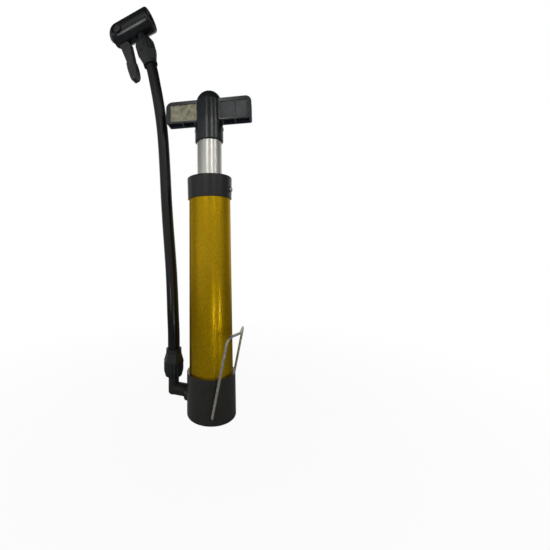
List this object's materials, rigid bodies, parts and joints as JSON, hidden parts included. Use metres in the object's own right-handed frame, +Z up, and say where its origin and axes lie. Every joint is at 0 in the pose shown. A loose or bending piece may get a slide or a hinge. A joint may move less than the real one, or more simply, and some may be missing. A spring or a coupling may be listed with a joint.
{
  "type": "floor bike pump",
  "caption": "Small upright bicycle pump with a lacquered barrel, tee handle, folding wire foot and a side hose that ends in a lever pump head.",
  "frame": {"origin": "centre of the flat underside of the base, on the floor", "axes": "+Z up along the barrel, +X towards the wire foot, the outlet and the hose on -X"},
  "size_m": [0.1337, 0.0461, 0.3572],
  "materials": {
    "black_plastic": "moulded black plastic with a soft sheen",
    "nut_plastic": "moulded black plastic, slightly duller",
    "hose_rubber": "smooth black hose with a soft gloss",
    "gold_lacquer": "clear gold lacquer over metal",
    "rod_aluminium": "polished drawn tube",
    "wire_steel": "dull galvanised wire",
    "seal_rubber": "soft black rubber",
    "valve_brass": "turned brass",
    "bright_steel": "bright plated steel",
    "pin_steel": "blackened steel pin",
    "grey_plastic": "dark grey moulded plastic",
    "foil": "plain metallised foil, bare of any print"
  },
  "bodies": {
    "pump": {"base": "black_plastic", "barrel": "gold_lacquer", "barrel_gasket": "seal_rubber", "elbow": "black_plastic", "elbow_seal": "seal_rubber", "valve_seat": "valve_brass", "check_spring": "bright_steel", "lower_hose_nut": "nut_plastic", "hose": "hose_rubber", "upper_hose_nut": "nut_plastic", "head_body": "black_plastic", "head_cap": "black_plastic", "valve_grommet": "seal_rubber", "lever_pin": "black_plastic", "collar": "black_plastic", "collar_screw": "bright_steel", "guide_bush": "grey_plastic", "bumper": "seal_rubber"},
    "piston": {"piston": "grey_plastic", "cup_seal": "seal_rubber", "piston_washer": "bright_steel", "piston_bolt": "bright_steel"},
    "handle": {"rod": "rod_aluminium", "handle": "black_plastic", "cross_pin": "pin_steel", "grip_foil": "foil"},
    "foot": {"wire_foot": "wire_steel"},
    "lever": {"lever": "black_plastic"},
    "plunger": {"head_plunger": "grey_plastic"},
    "check_valve": {"check_poppet": "valve_brass"}
  },
  "joints": [
    {"name": "piston_slide", "type": "slide", "parent": "pump", "child": "piston", "axis": [0, 0, 1], "range_m": [-0.0312, 0.105]},
    {"name": "handle_turn", "type": "hinge", "parent": "piston", "child": "handle", "pos_m": [0, 0, 0.2225], "axis": [0, 0, 1], "continuous": true},
    {"name": "foot_hinge", "type": "hinge", "parent": "pump", "child": "foot", "pos_m": [0.0085, 0, 0.0065], "axis": [0, 1, 0], "range_deg": [0, 79]},
    {"name": "lever_pivot", "type": "hinge", "parent": "pump", "child": "lever", "pos_m": [-0.08365, -0.01476, 0.33829], "axis": [-0.1204, 0.9897, 0.0772], "range_deg": [0, 90]},
    {"name": "plunger_slide", "type": "slide", "parent": "pump", "child": "plunger", "axis": [0.9578, 0.0953, 0.2713], "range_m": [0, 0.002]},
    {"name": "check_slide", "type": "slide", "parent": "pump", "child": "check_valve", "axis": [0, 0, -1], "range_m": [0, 0.0015], "stiffness_N_per_m": 40, "springref_m": -0.001, "deforming": ["check_spring"]}
  ],
  "couplings": [
    {"joint": "lever_pivot", "follows": "plunger_slide", "rad_per_m": 785}
  ]
}
